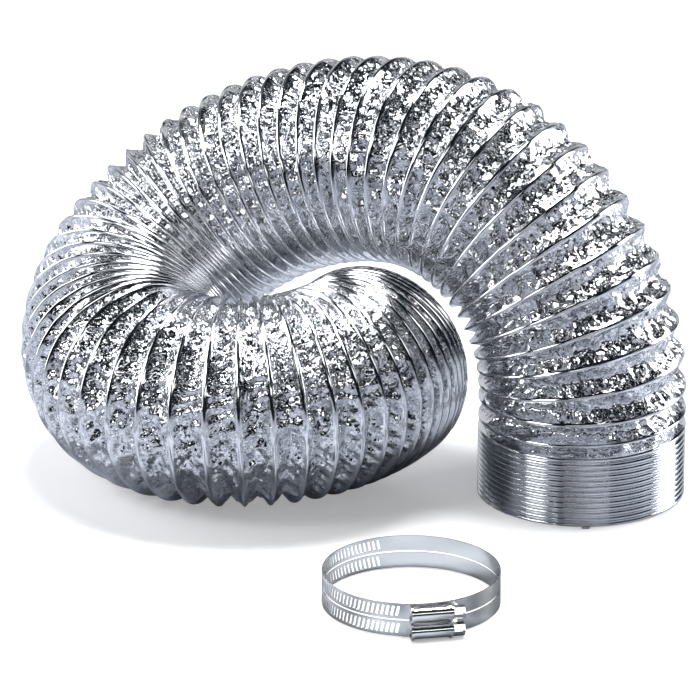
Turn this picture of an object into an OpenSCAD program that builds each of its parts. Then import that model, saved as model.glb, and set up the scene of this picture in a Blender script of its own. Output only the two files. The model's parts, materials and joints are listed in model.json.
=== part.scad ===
// Semi-rigid flexible air duct: foil over a wire helix, curled up as it is stored,
// with two worm-drive hose clamps. The origin is the centre of the collar's mouth, +Z up.

/* [Duct wall] */
// Radius of the bore inside the inner foil
bore_r = 51; // [50:0.5:51]
// Thickness of each sleeve of foil, with its folds
foil_t = 0.8; // [0.6:0.1:0.8]
// Radius of the spring-steel wire
wire_r = 0.6; // [0.4:0.1:0.6]
// Clear space between the wire and each foil
wire_gap = 0.1; // [0.05:0.05:0.2]

/* [Duct route] */
// Height at which the first bend begins
riser_h = 54; // [54:1:60]
// Height of the stiff, compressed collar at the mouth
collar_h = 22; // [16:1:24]
// Length of the loose turn of foil that bends between two sections
pleat_len = 9; // [6:0.5:10]
// Length of the straight cuff at the far mouth
cuff_len = 10; // [8:1:14]
// Distance between the compressed turns of wire in the collar
collar_pitch = 2.9; // [2.6:0.1:3.2]

/* [Wire end] */
// Width, reach and height of the wire's folded end at the mouth
tip_w = 4; // [3:0.5:5]
tip_reach = 2.6; // [2:0.2:3]
tip_h = 1.2; // [1:0.1:1.4]

/* [Hose clamps] */
// Inner radius of a closed clamp
clamp_r = 43.4; // [42:0.2:45]
// Width of the clamp's band
band_w = 8; // [7.8:0.1:8.4]
// Thickness of the band
band_t = 0.6; // [0.5:0.1:0.7]
// Distance between two slots of the band
slot_pitch = 2.55; // [2.4:0.05:2.8]
// Width and height of a slot
slot_w = 1.3; // [1.1:0.1:1.4]
slot_h = 5.4; // [5:0.1:5.8]
// Lean of the slots, which gives them the worm's helix angle
slot_tilt = 12; // [8:1:14]
// Angle round the band, from the screw, where the slots end
slot_sweep = 172; // [120:1:180]
// Clear height between the housings of the two stacked clamps
stack_gap = 0.3; // [0.3:0.1:1]
// Direction that the screws face, from the middle of the clamps
screw_angle = -79; // [-90:1:-70]

/* [Worm drive] */
// Radius of the screw's core and of its thread
core_r = 1.8; // [1.6:0.1:2]
thread_r = 2.5; // [2.4:0.1:2.6]
// Length of the threaded part
thread_len = 16; // [14:1:18]
// Clear space between the thread and what is round it
thread_gap = 0.3; // [0.2:0.05:0.3]
// Thickness of the housing's wall
housing_t = 0.7; // [0.6:0.1:0.8]
// Length of the housing
housing_len = 20; // [18:1:22]
// Size across the flats of the hex head, and its length
head_flats = 6; // [5.5:0.1:6.2]
head_len = 5.5; // [5:0.5:6]

/* [Hidden] */
$fn = 96;
SECTIONS = ["collar", "riser", "arch", "crest", "drop", "turn", "front", "curl", "tail"];
// One row for each bend: radius, sweep, roll of its plane from the last one's, turns of wire
BENDS = [
    [108, 47, -32, 8],
    [103, 45, 2, 7],
    [158, 37, 29, 9],
    [84, 35, 28, 6],
    [64, 83, -1, 9],
    [59, 50, -40, 3],
    [65, 50, 1, 5],
    [66, 28, -11, 3],
];
LAST = len(BENDS);
CLAMPS = ["lower", "upper"];
// The upper clamp lies a little off the lower one's axis
clamp_at = [[-90, -150], [-90, -149]];

wire_ring_r = bore_r + foil_t + wire_gap + wire_r;
outer_r = wire_ring_r + wire_r + wire_gap + foil_t;
pleat_in = bore_r + 0.3;
pleat_out = outer_r - 0.3;
pleat_slack = 0.2;
wire_margin = 1.5;
hoop_clear = 0.1;

band_out = clamp_r + band_t;
tail_out = band_out + band_t;
tail_from = -17;
tail_to = 23;
screw_axis = tail_out + thread_gap + thread_r;
shell_in = thread_r + thread_gap;
shell_out = shell_in + housing_t;
rim_t = 0.6;
rim_len = 1.2;
clamp_h = 2 * (shell_out + rim_t);
neck_gap = 0.2;
flange_r = 3.3;
flange_len = 0.8;
thread_w = 1.1;
groove_w = 0.9;
groove_d = 1.4;

function bend_r(k) = BENDS[k - 1][0];
function sweep(k) = BENDS[k - 1][1];
function roll(k) = BENDS[k - 1][2];
function turns(k) = BENDS[k - 1][3];
// Angle of a bend that a length along the duct's axis takes up
function arc_angle(k, length) = length / bend_r(k) * 180 / PI;
// Angle at which a section's stiff part begins
function stiff_from(k) = k == 1 ? 0 : arc_angle(k, pleat_len);
// How far a turn of wire keeps from the ends of its section: more where the bend is tight,
// because the turns close up on its inner side
function hoop_margin(k) =
    max(wire_margin, (wire_r + hoop_clear) * bend_r(k) / (bend_r(k) - wire_ring_r - wire_r));

// ---- The duct's route: local +Z runs along the duct, and +X points at the bend's centre

module swing(k, angle)
    translate([bend_r(k), 0, 0])
        rotate([0, angle, 0])
            translate([-bend_r(k), 0, 0])
                children();

module at_bend(k) {
    if (k == 1)
        translate([0, 0, riser_h])
            rotate([0, 0, 180 + roll(1)])
                children();
    else
        at_bend(k - 1)
            swing(k - 1, sweep(k - 1))
                rotate([0, 0, roll(k)])
                    children();
}

module at_far_mouth()
    at_bend(LAST)
        swing(LAST, sweep(LAST))
            children();

// ---- Tubes along the route

module sleeve(r_in, r_out, length)
    rotate_extrude()
        translate([r_in, 0])
            square([r_out - r_in, length]);

module bent_sleeve(k, r_in, r_out, from, to)
    translate([bend_r(k), 0, 0])
        rotate([90, 0, 0])
            rotate([0, 0, 180 - to])
                rotate_extrude(angle = to - from)
                    translate([bend_r(k), 0])
                        difference() {
                            circle(r_out);
                            circle(r_in);
                        }

// The part of a section that keeps its shape, after the loose turns that it begins with
module section_sleeve(k, r_in, r_out) {
    if (k == 0)
        sleeve(r_in, r_out, collar_h);
    else
        at_bend(k)
            bent_sleeve(k, r_in, r_out, stiff_from(k), sweep(k));
    if (k == LAST)
        at_far_mouth()
            sleeve(r_in, r_out, cuff_len);
}

module outer_foil(k)
    color("lightgray")
        section_sleeve(k, outer_r - foil_t, outer_r);

module inner_foil(k)
    color("silver")
        section_sleeve(k, bore_r, bore_r + foil_t);

// ---- The wire helix, a closed hoop for each turn

module hoop()
    rotate_extrude()
        translate([wire_ring_r, 0])
            circle(wire_r, $fn = 24);

module wire(k)
    color("dimgray") {
        if (k == 0)
            for (z = [collar_pitch / 2 : collar_pitch : collar_h - wire_margin])
                translate([0, 0, z])
                    hoop();
        else {
            margin = arc_angle(k, hoop_margin(k));
            from = stiff_from(k) + margin;
            to = sweep(k) - margin;
            for (i = [0 : turns(k) - 1])
                at_bend(k)
                    swing(k, from + (to - from) * i / (turns(k) - 1))
                        hoop();
        }
        if (k == LAST)
            at_far_mouth()
                translate([0, 0, cuff_len - wire_margin])
                    hoop();
    }

// ---- The loose foil that each section begins with: the stack that stretches above the
// collar, and one turn before each later section

module pleat(k)
    color("gainsboro")
        if (k == 1)
            translate([0, 0, collar_h + pleat_slack])
                sleeve(pleat_in, pleat_out, riser_h - collar_h - 2 * pleat_slack);
        else
            at_bend(k)
                bent_sleeve(k, pleat_in, pleat_out, arc_angle(k, pleat_slack),
                            arc_angle(k, pleat_len - pleat_slack));

// The wire's end, folded flat over the rim of the mouth
module wire_tip()
    color("dimgray")
        translate([-tip_w / 2, -outer_r - tip_reach, 0.1])
            cube([tip_w, tip_reach - 0.1, tip_h]);

// ---- Hose clamps: +X runs outwards through the middle of the screw

module at_clamp(i)
    translate([clamp_at[i][0], clamp_at[i][1], clamp_h / 2 + i * (clamp_h + stack_gap)])
        rotate([0, 0, screw_angle])
            children();

// A ring, with the band's free end lying on its first turn
module band_outline() {
    reach = 2 * tail_out;
    difference() {
        union() {
            circle(band_out);
            intersection() {
                circle(tail_out);
                polygon([
                    [0, 0],
                    reach * [cos(tail_from), sin(tail_from)],
                    reach * [cos(tail_to), sin(tail_to)],
                ]);
            }
        }
        circle(clamp_r);
    }
}

module clamp_band(i)
    color("lightsteelblue")
        at_clamp(i)
            difference() {
                translate([0, 0, -band_w / 2])
                    linear_extrude(band_w)
                        band_outline();
                slot_step = slot_pitch / band_out * 180 / PI;
                for (a = [tail_from - slot_step : -slot_step : -slot_sweep])
                    rotate([0, 0, a])
                        translate([clamp_r, 0, 0])
                            rotate([-slot_tilt, 0, 0])
                                cube([3 * band_t, slot_w, slot_h], center = true);
            }

// Half round along the screw, open towards the band
module half_shell(r_in, r_out, from, length)
    translate([screw_axis, from, 0])
        rotate([-90, 0, 0])
            linear_extrude(length)
                difference() {
                    union() {
                        circle(r_out);
                        translate([-screw_axis + clamp_r, -r_out])
                            square([screw_axis - clamp_r, 2 * r_out]);
                    }
                    circle(r_in);
                    translate([-screw_axis, -r_in])
                        square([screw_axis, 2 * r_in]);
                }

module clamp_housing(i)
    color("silver")
        at_clamp(i)
            difference() {
                union() {
                    half_shell(shell_in, shell_out, -housing_len / 2, housing_len);
                    half_shell(shell_in, shell_out + rim_t, -housing_len / 2, rim_len);
                    half_shell(core_r + neck_gap, shell_out + rim_t,
                               housing_len / 2 - rim_len, rim_len);
                }
                translate([0, 0, -band_w])
                    cylinder(r = tail_out, h = 2 * band_w);
            }

module worm_screw(i)
    color("whitesmoke")
        at_clamp(i)
            translate([screw_axis, -thread_len / 2, 0])
                rotate([-90, 0, 0]) {
                    flange_at = housing_len / 2 + thread_len / 2 + neck_gap;
                    cylinder(r = core_r, h = flange_at + 0.1);
                    for (z = [0.2 : slot_pitch : thread_len - thread_w])
                        translate([0, 0, z])
                            cylinder(r = thread_r, h = thread_w);
                    translate([0, 0, flange_at])
                        cylinder(r = flange_r, h = flange_len);
                    translate([0, 0, flange_at + flange_len - 0.1])
                        difference() {
                            cylinder(d = head_flats / cos(30), h = head_len, $fn = 6);
                            translate([-head_flats, -groove_w / 2, head_len - groove_d])
                                cube([2 * head_flats, groove_w, groove_d + 1]);
                        }
                }

for (k = [0 : LAST]) {
    outer_foil(k);
    inner_foil(k);
    wire(k);
}
for (k = [1 : LAST])
    pleat(k);
wire_tip();
for (i = [0 : len(CLAMPS) - 1]) {
    clamp_band(i);
    clamp_housing(i);
    worm_screw(i);
}
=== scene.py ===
"""A semi-rigid air duct of foil over a wire helix, curled up, with two loose worm-drive clamps.

The foil is one ribbon that follows the wire's helix. It is cut into one piece for each joint of
the frame, from the middle of one section to the middle of the next.
"""

import json
import math

import bpy
import numpy as np
from mathutils import Matrix, Vector


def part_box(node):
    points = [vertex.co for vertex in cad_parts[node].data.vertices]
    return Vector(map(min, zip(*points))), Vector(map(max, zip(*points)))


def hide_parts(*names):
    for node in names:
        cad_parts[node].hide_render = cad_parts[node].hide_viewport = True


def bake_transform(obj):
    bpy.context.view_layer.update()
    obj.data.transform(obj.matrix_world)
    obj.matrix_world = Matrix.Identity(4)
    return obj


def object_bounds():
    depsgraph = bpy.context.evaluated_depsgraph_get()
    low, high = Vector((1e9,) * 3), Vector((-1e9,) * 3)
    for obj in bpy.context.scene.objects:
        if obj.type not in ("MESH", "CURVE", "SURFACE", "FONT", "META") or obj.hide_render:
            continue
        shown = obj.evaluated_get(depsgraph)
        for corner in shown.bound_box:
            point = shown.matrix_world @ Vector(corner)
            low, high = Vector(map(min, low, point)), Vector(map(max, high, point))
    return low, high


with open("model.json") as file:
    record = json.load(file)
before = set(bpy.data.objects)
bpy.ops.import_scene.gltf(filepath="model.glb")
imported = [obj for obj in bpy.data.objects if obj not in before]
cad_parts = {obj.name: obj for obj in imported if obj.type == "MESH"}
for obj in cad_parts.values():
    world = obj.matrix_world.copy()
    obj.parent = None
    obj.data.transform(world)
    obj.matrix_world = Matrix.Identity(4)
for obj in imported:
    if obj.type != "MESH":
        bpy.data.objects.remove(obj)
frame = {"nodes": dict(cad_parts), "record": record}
cad_lo, cad_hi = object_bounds()

MM = 0.001

# ---- The duct's sizes, from the frame

SECTIONS = ["collar", "riser", "arch", "crest", "drop", "turn", "front", "curl", "tail"]
# One row for each bend: radius in millimetres, sweep, and roll of its plane from the last one's
BENDS = [
    (108, 47, -32),
    (103, 45, 2),
    (158, 37, 29),
    (84, 35, 28),
    (64, 83, -1),
    (59, 50, -40),
    (65, 50, 1),
    (66, 28, -11),
]
MOUNTS = {m["name"]: m for m in frame["record"]["mounts"]}

outer_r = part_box("outer_foil_collar")[1].x
collar_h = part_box("outer_foil_collar")[1].z
packed_to = 34 * MM
wire_r = 0.6 * MM
foil_lap = 0.55 * MM
crown_r = wire_r + foil_lap
# The curled end sits this much higher, nearer and further right than the frame's, to nest in the
# arch
END_LIFT = Vector((4.0, -4.0, 6.0)) * MM
# The lift grows between these lengths along the route
LIFT_FROM = 470 * MM
LIFT_TO = 600 * MM
ridge_r = outer_r - 0.15 * MM
wire_ring_r = ridge_r - crown_r
riser_h = MOUNTS["collar_bore"]["dims"]["length_mm"] * MM
cuff_len = MOUNTS["far_bore"]["dims"]["length_mm"] * MM

# ---- The route: position, direction and two fixed cross directions, in small steps

STEP = 0.25 * MM
# The bend radius that stands for no bend at all
STRAIGHT = 1e9


def turned(vector, axis, angle):
    return Matrix.Rotation(angle, 3, axis) @ vector


def walk_route():
    """Rows of length, point, direction, two cross directions, direction to the bend's centre and
    bend radius."""
    rows = []
    length = 0.0
    point = Vector((0, 0, 0))
    along = Vector((0, 0, 1))
    towards = Vector((-1, 0, 0))
    roll = 0.0

    def add(radius):
        cross = turned(towards, along, -roll)
        side = along.cross(cross)
        rows.append((length, point.copy(), along.copy(), cross, side, towards.copy(), radius))

    def straight(distance):
        nonlocal length, point
        steps = max(1, round(distance / STEP))
        for _ in range(steps):
            add(STRAIGHT)
            point = point + along * (distance / steps)
            length += distance / steps

    straight(riser_h)
    for radius_mm, sweep, turn in BENDS:
        radius = radius_mm * MM
        towards = turned(towards, along, math.radians(turn))
        roll += math.radians(turn)
        steps = round(radius * math.radians(sweep) / STEP)
        angle = math.radians(sweep) / steps
        side = along.cross(towards)
        for _ in range(steps):
            add(radius)
            middle = point + towards * radius
            point = middle + turned(point - middle, side, angle)
            along = turned(along, side, angle).normalized()
            towards = turned(towards, side, angle).normalized()
            length += radius * angle
    straight(cuff_len)
    add(STRAIGHT)
    return rows


def lift(s):
    """How much of END_LIFT applies at the length s."""
    share = np.clip((s - LIFT_FROM) / (LIFT_TO - LIFT_FROM), 0, 1)
    return share * share * (3 - 2 * share)


ROUTE = walk_route()
ROUTE_S = np.array([row[0] for row in ROUTE])
ROUTE_POINT = np.array([row[1] for row in ROUTE]) + lift(ROUTE_S)[:, None] * np.array(END_LIFT)
ROUTE_CROSS = np.array([row[3] for row in ROUTE])
ROUTE_SIDE = np.array([row[4] for row in ROUTE])
ROUTE_TOWARDS = np.array([row[5] for row in ROUTE])
ROUTE_RADIUS = np.array([row[6] for row in ROUTE])
TOTAL = ROUTE_S[-1]


def along_route(table, s):
    """A route table's vectors at the lengths s."""
    return np.stack([np.interp(s, ROUTE_S, table[:, i]) for i in range(3)], -1)


def section_starts():
    """Length along the route at which each section begins, and the route's end."""
    starts = [0.0, riser_h]
    for radius_mm, sweep, _ in BENDS:
        starts.append(starts[-1] + radius_mm * MM * math.radians(sweep))
    starts[1] = collar_h
    starts[-1] = TOTAL
    return starts


STARTS = section_starts()

# ---- The wire's helix: how many turns there are up to each length

# Length along the route, and the distance between turns there, in millimetres
PITCHES = [
    (0, 2.9),
    (34, 2.9),
    (38, 7.5),
    (48, 11.3),
    (70, 12.3),
    (130, 12.0),
    (180, 10.7),
    (290, 10.7),
    (350, 9.5),
    (540, 9.5),
    (575, 7.5),
    (600, 4.5),
    (640, 3.2),
]
PITCH = np.interp(ROUTE_S, [row[0] * MM for row in PITCHES], [row[1] * MM for row in PITCHES])
TURN = np.concatenate([[0], np.cumsum(np.diff(ROUTE_S) / PITCH[:-1])])


def length_at_turn(turn):
    return np.interp(turn, TURN, ROUTE_S)


# ---- Repeatable noise

def lattice_noise(points, cell, seed):
    """Smooth noise from -1 to 1 with about that cell size."""
    q = points / cell
    base = np.floor(q).astype(np.int64)
    f = q - base
    f = f * f * (3 - 2 * f)
    total = np.zeros(len(points))
    for corner in range(8):
        offset = np.array([corner & 1, corner >> 1 & 1, corner >> 2])
        c = base + offset
        h = (c[:, 0] * 73856093) ^ (c[:, 1] * 19349663) ^ (c[:, 2] * 83492791) ^ (seed * 2654435761)
        h = (h ^ (h >> 13)) * 1274126177 & 0x7FFFFFFF
        value = ((h ^ (h >> 15)) & 0xFFFF) / 32767.5 - 1
        weight = np.prod(np.where(offset, f, 1 - f), axis=1)
        total += weight * value
    return total


def fold(x):
    """Triangle wave from -1 to 1 with period 1: straight flanks and sharp creases."""
    return 4 * np.abs(x - np.floor(x + 0.5)) - 1


def creases(points, wavelength, count, seed):
    """Flat facets that meet in sharp creases, as in crumpled foil: folds in random directions."""
    rng = np.random.default_rng(seed)
    warp = np.stack(
        [lattice_noise(points, 2.2 * wavelength, seed * 10 + i) for i in range(3)], -1
    )
    bent = points + warp * 0.55 * wavelength
    total = np.zeros(len(points))
    for i in range(count):
        direction = rng.normal(size=3)
        direction /= np.linalg.norm(direction)
        stretch = rng.uniform(0.75, 1.35)
        share = 1 + 0.8 * lattice_noise(points, 2.5 * wavelength, seed * 100 + i)
        total += share * fold(bent @ direction / (wavelength * stretch) + rng.uniform())
    return total / math.sqrt(count)


# ---- The foil's surface

FOIL_PER_TURN = 24 * MM
# Share of a turn's spare foil that goes into the depth of the valley beside it
SPARE_SHARE = 0.32
# Before it is crumpled, an open valley is at most this many times as deep as half the pitch
STEEPEST = 1.7
# Deepest valley where the turns are packed
PACKED_SAG = 1.7 * MM
# Depth, wavelength and number of folds of each set of crumples
CRUMPLES = [(1.15 * MM, 13 * MM, 3), (0.85 * MM, 7.5 * MM, 3), (0.22 * MM, 4 * MM, 3)]
# The crumples as a whole lie this much inwards
CRUMPLES_IN = 0.3 * MM
GATHER_DEPTH = 0.5 * MM
# The inner ply's gaps to the outer ply and to the wire
PLY_GAP = 0.35 * MM
WIRE_GAP = 0.1 * MM
COLUMNS = 400
# Where a turn's rows lie, from one wire to the next, as shares of the pitch
ROWS = np.array([0, 0.045, 0.09, 0.16, 0.26, 0.38, 0.5, 0.62, 0.74, 0.84, 0.91, 0.955])


def outwards_at(s, angle):
    cross = along_route(ROUTE_CROSS, s)
    side = along_route(ROUTE_SIDE, s)
    return np.cos(angle)[:, None] * cross + np.sin(angle)[:, None] * side


def tube_point(s, angle, radius):
    return along_route(ROUTE_POINT, s) + radius[:, None] * outwards_at(s, angle)


def local_pitch(s, angle):
    """Real distance between two turns at that place: wide outside a bend, narrow inside it."""
    towards = along_route(ROUTE_TOWARDS, s)
    curve = np.interp(s, ROUTE_S, 1 / ROUTE_RADIUS)
    share = 1 - outer_r * curve * np.sum(outwards_at(s, angle) * towards, -1)
    return np.interp(s, ROUTE_S, PITCH) * np.clip(share, 0.12, None)


def ramp(value, start, end):
    """0 up to start and 1 from end on."""
    return np.clip((value - start) / (end - start), 0, 1)


def crumples(points):
    """Depth of the random creases at those points."""
    sets = enumerate(CRUMPLES, start=1)
    return sum(depth * creases(points, length, folds, seed) for seed, (depth, length, folds) in sets)


def gathers(points, angle):
    """Small pleats, from -1.6 to 1.6, where the foil is gathered round the wire."""
    shift = 1.5 * lattice_noise(points, 7 * MM, 41)
    wide = fold(angle * outer_r / (4.2 * MM) + shift)
    return wide + 0.6 * fold(angle * outer_r / (2.3 * MM) + 2 * shift)


def foil_surface(turn, angle, inner):
    """Points of one ply, their lengths along the route, and how loose the foil is there.

    turn counts from wire to wire, so whole numbers lie on the wire.
    """
    s = np.clip(length_at_turn(turn + angle / math.tau), 0, TOTAL)
    across = turn - np.floor(turn)
    pitch = local_pitch(s, angle)
    half = pitch / 2
    from_wire = np.minimum(across, 1 - across) * pitch
    slack = ramp(s, packed_to, packed_to + 6 * MM) * ramp(TOTAL - s, 0, 12 * MM)
    fold_depth = SPARE_SHARE * np.sqrt(np.clip(FOIL_PER_TURN**2 - pitch**2, 0, None))
    open_sag = np.minimum(fold_depth, half * STEEPEST)
    packed_sag = np.minimum(PACKED_SAG, half * 1.2)
    sag = open_sag * slack + packed_sag * (1 - slack)

    on_wire = np.minimum(from_wire, crown_r)
    crown = np.minimum(crown_r - np.sqrt(crown_r**2 - on_wire**2), 0.7 * crown_r)
    flank = sag * ramp(from_wire, 0.6 * crown_r, np.maximum(half, 0.8 * crown_r)) ** 0.8
    smooth = tube_point(s, angle, np.full(len(s), outer_r))
    free = ramp(from_wire, 1.1 * crown_r, 1.1 * crown_r + 1.8 * MM)
    free = free * np.clip((pitch - 1.5 * MM) / (7 * MM), 0.01, 1) * slack
    near = ramp(from_wire, 1.2 * crown_r, 3.0 * MM) * np.exp(-from_wire / (4.5 * MM))
    depth = np.maximum(crown, flank) + free * (crumples(smooth) + CRUMPLES_IN)
    room = np.clip(pitch / (9 * MM), 0.1, 1)
    depth = depth + near * room * (0.2 + 0.8 * slack) * GATHER_DEPTH * gathers(smooth, angle)
    depth = np.maximum(depth, crown * 0.8)
    radius = ridge_r - depth
    if inner:
        radius = np.minimum(radius - PLY_GAP, wire_ring_r - wire_r - WIRE_GAP)
    return tube_point(s, angle, radius), s, free


def grid_mesh(name, turns, columns, inner):
    """The ribbon's surface between two turns, as a mesh object of small triangles."""
    first, last = turns
    rows = np.concatenate([whole + ROWS for whole in range(math.floor(first), math.ceil(last) + 1)])
    rows = rows[(rows >= first - 1e-9) & (rows <= last + 1e-9)]
    angles = np.linspace(0, math.tau, columns + 1)
    turn, angle = np.meshgrid(rows, angles, indexing="ij")
    points, s, free = foil_surface(turn.ravel(), angle.ravel(), inner)
    index = np.arange(turn.size).reshape(turn.shape)
    quads = np.stack([index[:-1, :-1], index[:-1, 1:], index[1:, 1:], index[1:, :-1]], -1).reshape(-1, 4)
    spread = s[quads].max(1) - s[quads].min(1)
    quads = quads[spread > 1e-6]
    flipped = (quads.sum(1) % 2).astype(bool)
    a, b, c, d = quads.T
    one = np.where(flipped[:, None], np.stack([a, b, c], -1), np.stack([a, b, d], -1))
    two = np.where(flipped[:, None], np.stack([a, c, d], -1), np.stack([b, c, d], -1))
    faces = np.concatenate([one, two])
    used, faces = np.unique(faces, return_inverse=True)
    made = add_mesh(name, points[used], faces.reshape(-1, 3).tolist())
    loose = made.data.attributes.new("loose", "FLOAT", "POINT")
    loose.data.foreach_set("value", free[used])
    return made


def add_mesh(name, points, faces):
    """A smooth-shaded mesh object in the scene."""
    mesh = bpy.data.meshes.new(name)
    mesh.from_pydata(points.tolist(), [], faces)
    mesh.shade_smooth()
    made = bpy.data.objects.new(name, mesh)
    bpy.context.scene.collection.objects.link(made)
    return made


WIRE_SIDES = 8
WIRE_STEPS_PER_TURN = 96


def wire_mesh(name, turns):
    """The wire's helix between two turns, as a closed tube."""
    first, last = turns[0], min(turns[1] + 1, TURN[-1])
    count = round((last - first) * WIRE_STEPS_PER_TURN)
    place = np.linspace(max(first, 0.25), last, count)
    s = length_at_turn(place)
    angle = (place % 1) * math.tau
    centre = tube_point(s, angle, np.full(count, wire_ring_r))
    ahead = np.gradient(centre, axis=0)
    ahead /= np.linalg.norm(ahead, axis=1)[:, None]
    out = outwards_at(s, angle)
    across = np.cross(ahead, out)
    round_it = np.linspace(0, math.tau, WIRE_SIDES, endpoint=False)
    points = (
        centre[:, None]
        + wire_r * np.cos(round_it)[None, :, None] * out[:, None]
        + wire_r * np.sin(round_it)[None, :, None] * across[:, None]
    ).reshape(-1, 3)
    index = np.arange(count * WIRE_SIDES).reshape(count, WIRE_SIDES)
    after = np.roll(index, -1, axis=1)
    quads = np.stack([index[:-1], after[:-1], after[1:], index[1:]], -1).reshape(-1, 4).tolist()
    ends = [index[0][::-1].tolist(), index[-1].tolist()]
    return add_mesh(name, points, quads + ends)


def piece_turns(k):
    """First and last turn of the piece round the joint between sections k - 1 and k."""
    first = -1.0 if k == 1 else turn_at((STARTS[k - 1] + STARTS[k]) / 2)
    last = TURN[-1] if k == len(BENDS) else turn_at((STARTS[k] + STARTS[k + 1]) / 2)
    return first, last


def turn_at(s):
    """The whole turn that runs nearest to the length s."""
    return round(float(np.interp(s, ROUTE_S, TURN)) - 0.5)


def bend_over_joint(piece):
    """Bake the piece's transform into its mesh; the piece is already built along section k - 1 before
    the joint and section k after it.
    """
    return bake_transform(piece)


# ---- Materials

def new_material(name, colour, roughness):
    material = bpy.data.materials.new(name)
    material.use_nodes = True
    shader = material.node_tree.nodes["Principled BSDF"]
    shader.inputs["Base Color"].default_value = (*colour, 1)
    shader.inputs["Metallic"].default_value = 1.0
    shader.inputs["Roughness"].default_value = roughness
    return material, material.node_tree.nodes, material.node_tree.links, shader


def coordinates(nodes):
    return nodes.new("ShaderNodeTexCoord").outputs["Object"]


def facet_height(nodes, links, place, scale):
    """Height in metres of flat facets, each one tilted its own way."""
    cells = nodes.new("ShaderNodeTexVoronoi")
    cells.inputs["Scale"].default_value = scale
    links.new(place, cells.inputs["Vector"])
    offset = nodes.new("ShaderNodeVectorMath")
    offset.operation = "SUBTRACT"
    links.new(place, offset.inputs[0])
    links.new(cells.outputs["Position"], offset.inputs[1])
    tilt = nodes.new("ShaderNodeVectorMath")
    tilt.operation = "SUBTRACT"
    tilt.inputs[1].default_value = (0.5, 0.5, 0.5)
    links.new(cells.outputs["Color"], tilt.inputs[0])
    height = nodes.new("ShaderNodeVectorMath")
    height.operation = "DOT_PRODUCT"
    links.new(offset.outputs["Vector"], height.inputs[0])
    links.new(tilt.outputs["Vector"], height.inputs[1])
    return height.outputs["Value"]


def foil_material(name, colour, roughness, depth):
    """Bright foil that has flat tilted facets where it is loose."""
    material, nodes, links, shader = new_material(name, colour, roughness)
    place = coordinates(nodes)
    wide = facet_height(nodes, links, place, 320)
    narrow = facet_height(nodes, links, place, 700)
    both = nodes.new("ShaderNodeMath")
    both.operation = "ADD"
    links.new(wide, both.inputs[0])
    links.new(narrow, both.inputs[1])
    loose = nodes.new("ShaderNodeAttribute")
    loose.attribute_name = "loose"
    masked = nodes.new("ShaderNodeMath")
    masked.operation = "MULTIPLY"
    links.new(both.outputs[0], masked.inputs[0])
    links.new(loose.outputs["Fac"], masked.inputs[1])
    bump = nodes.new("ShaderNodeBump")
    bump.inputs["Strength"].default_value = 1.0
    bump.inputs["Distance"].default_value = depth
    links.new(masked.outputs[0], bump.inputs["Height"])
    links.new(bump.outputs["Normal"], shader.inputs["Normal"])
    return material


def metal_material(name, colour, roughness, grain):
    """Polished sheet or drawn wire, with fine rolling marks."""
    material, nodes, links, shader = new_material(name, colour, roughness)
    marks = nodes.new("ShaderNodeTexNoise")
    marks.inputs["Scale"].default_value = grain
    marks.inputs["Detail"].default_value = 4
    links.new(coordinates(nodes), marks.inputs["Vector"])
    bump = nodes.new("ShaderNodeBump")
    bump.inputs["Strength"].default_value = 0.15
    bump.inputs["Distance"].default_value = 0.02 * MM
    links.new(marks.outputs["Fac"], bump.inputs["Height"])
    links.new(bump.outputs["Normal"], shader.inputs["Normal"])
    return material


OUTER = foil_material("outer foil", (0.80, 0.815, 0.845), 0.11, 0.36)
INNER = foil_material("inner foil", (0.80, 0.81, 0.84), 0.2, 0.3)
WIRE = metal_material("spring wire", (0.45, 0.46, 0.48), 0.3, 2500)
BAND = metal_material("clamp band", (0.80, 0.81, 0.79), 0.2, 1800)
SCREW = metal_material("clamp screw", (0.86, 0.87, 0.86), 0.16, 3000)


def finish_piece(piece, material):
    """Give a piece its material."""
    piece.data.materials.clear()
    piece.data.materials.append(material)
    return piece


# ---- The duct's pieces

def make_duct():
    """Two plies and the wire, each in one piece for each joint."""
    for k in range(1, len(SECTIONS)):
        name = SECTIONS[k]
        replaced = [name] if k > 1 else ["collar", name]
        outer = grid_mesh(f"foil_outer_{name}", piece_turns(k), COLUMNS, False)
        bend_over_joint(finish_piece(outer, OUTER))
        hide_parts(f"pleat_{name}", *[f"outer_foil_{x}" for x in replaced])
        inner = grid_mesh(f"foil_inner_{name}", piece_turns(k), COLUMNS // 2, True)
        bend_over_joint(finish_piece(inner, INNER))
        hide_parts(*[f"inner_foil_{x}" for x in replaced])
        wire = wire_mesh(f"wire_helix_{name}", piece_turns(k))
        bend_over_joint(finish_piece(wire, WIRE))
        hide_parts(*[f"wire_{x}" for x in replaced])


def finish_carried_nodes():
    """Materials for the CAD's own clamps and wire tip."""
    for name, node in frame["nodes"].items():
        if name == "wire_tip":
            finish_piece(node, WIRE)
        elif name.startswith("clamp_band"):
            finish_piece(node, BAND)
        elif name.startswith(("clamp_housing", "worm_screw")):
            finish_piece(node, SCREW)


# ---- Floor, light and camera

middle = (cad_lo + cad_hi) / 2


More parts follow.
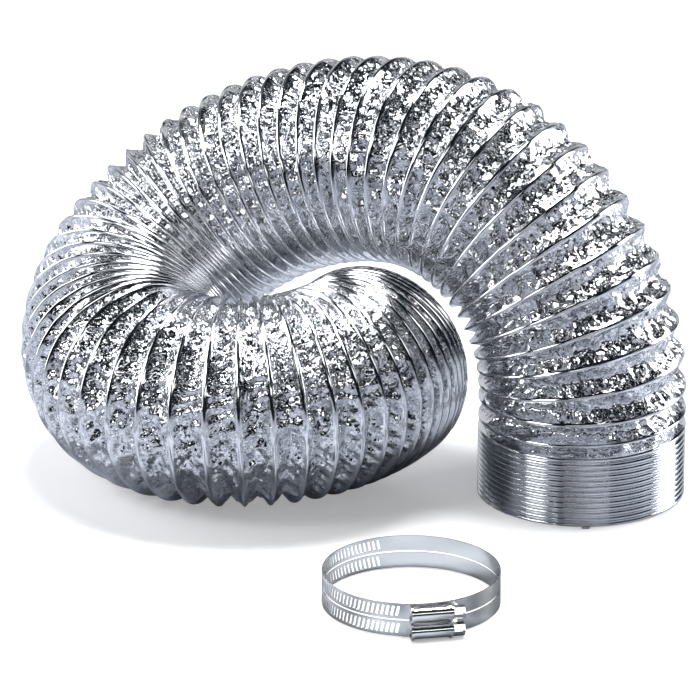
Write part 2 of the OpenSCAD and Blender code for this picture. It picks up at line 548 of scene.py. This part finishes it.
def make_floor():
    """White to the camera. In the metal it has soft grey patches, like a room's floor."""
    mesh = bpy.data.meshes.new("floor")
    size = 6.0
    corners = [(-size, -size, 0), (size, -size, 0), (size, size, 0), (-size, size, 0)]
    mesh.from_pydata(corners, [], [(0, 1, 2, 3)])
    floor = bpy.data.objects.new("floor", mesh)
    bpy.context.scene.collection.objects.link(floor)
    material = bpy.data.materials.new("pale floor")
    material.use_nodes = True
    nodes, links = material.node_tree.nodes, material.node_tree.links
    shader = nodes["Principled BSDF"]
    shader.inputs["Roughness"].default_value = 0.6
    seen = nodes.new("ShaderNodeMix")
    seen.data_type = "RGBA"
    patches = nodes.new("ShaderNodeTexNoise")
    patches.inputs["Scale"].default_value = 14
    patches.inputs["Detail"].default_value = 3
    links.new(nodes.new("ShaderNodeTexCoord").outputs["Object"], patches.inputs["Vector"])
    tone = nodes.new("ShaderNodeValToRGB")
    tone.color_ramp.elements[0].position = 0.40
    tone.color_ramp.elements[0].color = (0.10, 0.11, 0.13, 1)
    tone.color_ramp.elements[1].position = 0.58
    tone.color_ramp.elements[1].color = (0.56, 0.59, 0.67, 1)
    links.new(patches.outputs["Fac"], tone.inputs["Fac"])
    # A colour Mix node's sockets are numbered: 0 the share, 6 and 7 the colours, and 2 the result
    links.new(tone.outputs["Color"], seen.inputs[6])
    seen.inputs[7].default_value = (0.93, 0.93, 0.94, 1)
    ray = nodes.new("ShaderNodeLightPath")
    links.new(ray.outputs["Is Camera Ray"], seen.inputs[0])
    links.new(seen.outputs[2], shader.inputs["Base Color"])
    glow = nodes.new("ShaderNodeMath")
    glow.operation = "MULTIPLY"
    glow.inputs[1].default_value = 0.3
    links.new(ray.outputs["Is Camera Ray"], glow.inputs[0])
    shader.inputs["Emission Color"].default_value = (1, 1, 1, 1)
    links.new(glow.outputs[0], shader.inputs["Emission Strength"])
    mesh.materials.append(material)


def make_world():
    """White to the camera. In the metal it has dark bands between soft lights."""
    world = bpy.data.worlds.new("studio")
    bpy.context.scene.world = world
    world.use_nodes = True
    nodes, links = world.node_tree.nodes, world.node_tree.links
    back = nodes["Background"]
    place = nodes.new("ShaderNodeTexCoord").outputs["Generated"]
    noise = nodes.new("ShaderNodeTexNoise")
    noise.inputs["Scale"].default_value = 2.6
    noise.inputs["Detail"].default_value = 4.0
    links.new(place, noise.inputs["Vector"])
    lean = nodes.new("ShaderNodeVectorMath")
    lean.operation = "DOT_PRODUCT"
    lean.inputs[1].default_value = (0.0, 0.13, -0.05)
    links.new(place, lean.inputs[0])
    level = nodes.new("ShaderNodeMath")
    level.operation = "ADD"
    links.new(noise.outputs["Fac"], level.inputs[0])
    links.new(lean.outputs["Value"], level.inputs[1])
    tone = nodes.new("ShaderNodeValToRGB")
    tone.color_ramp.elements[0].position = 0.47
    tone.color_ramp.elements[0].color = (0.008, 0.010, 0.014, 1)
    tone.color_ramp.elements[1].position = 0.62
    tone.color_ramp.elements[1].color = (0.95, 0.97, 1.0, 1)
    grey = tone.color_ramp.elements.new(0.55)
    grey.color = (0.13, 0.15, 0.17, 1)
    links.new(level.outputs[0], tone.inputs["Fac"])
    links.new(tone.outputs["Color"], back.inputs["Color"])
    back.inputs["Strength"].default_value = 0.72
    white = nodes.new("ShaderNodeBackground")
    white.inputs["Color"].default_value = (1, 1, 1, 1)
    white.inputs["Strength"].default_value = 1.0
    ray = nodes.new("ShaderNodeLightPath")
    mix = nodes.new("ShaderNodeMixShader")
    links.new(ray.outputs["Is Camera Ray"], mix.inputs["Fac"])
    links.new(back.outputs[0], mix.inputs[1])
    links.new(white.outputs[0], mix.inputs[2])
    links.new(mix.outputs[0], nodes["World Output"].inputs["Surface"])


def make_light(name, place, size, power):
    """A soft rectangular light at that place from the middle of the object, facing it."""
    data = bpy.data.lights.new(name, "AREA")
    data.shape = "RECTANGLE"
    data.size, data.size_y = size
    data.energy = power
    light = bpy.data.objects.new(name, data)
    bpy.context.scene.collection.objects.link(light)
    light.location = middle + Vector(place)
    light.rotation_euler = (-Vector(place)).to_track_quat("-Z", "Y").to_euler()


ELEVATION = math.radians(20)
DISTANCE = 2.5
LENS = 247
SENSOR = 36
AIM = Vector((-0.120, 0.0246, 0.0676))


def make_camera():
    data = bpy.data.cameras.new("camera")
    data.lens = LENS
    data.sensor_width = SENSOR
    camera = bpy.data.objects.new("camera", data)
    bpy.context.scene.collection.objects.link(camera)
    back = Vector((0, -math.cos(ELEVATION), math.sin(ELEVATION)))
    camera.location = AIM + back * DISTANCE
    camera.rotation_euler = (-back).to_track_quat("-Z", "Y").to_euler()
    bpy.context.scene.camera = camera


make_duct()
finish_carried_nodes()
make_floor()
make_world()
make_light("key", (-1.1, -0.7, 1.0), (0.6, 0.6), 9)
make_light("front", (0.2, -1.6, 0.9), (1.6, 0.25), 3)
make_light("top", (0.1, 0.3, 1.5), (0.7, 0.5), 34)
make_light("right", (1.3, 0.4, 0.2), (0.6, 1.4), 18)
make_light("left", (-1.3, 0.4, 0.2), (0.6, 1.4), 12)
make_camera()
bpy.context.scene.view_settings.view_transform = "Standard"
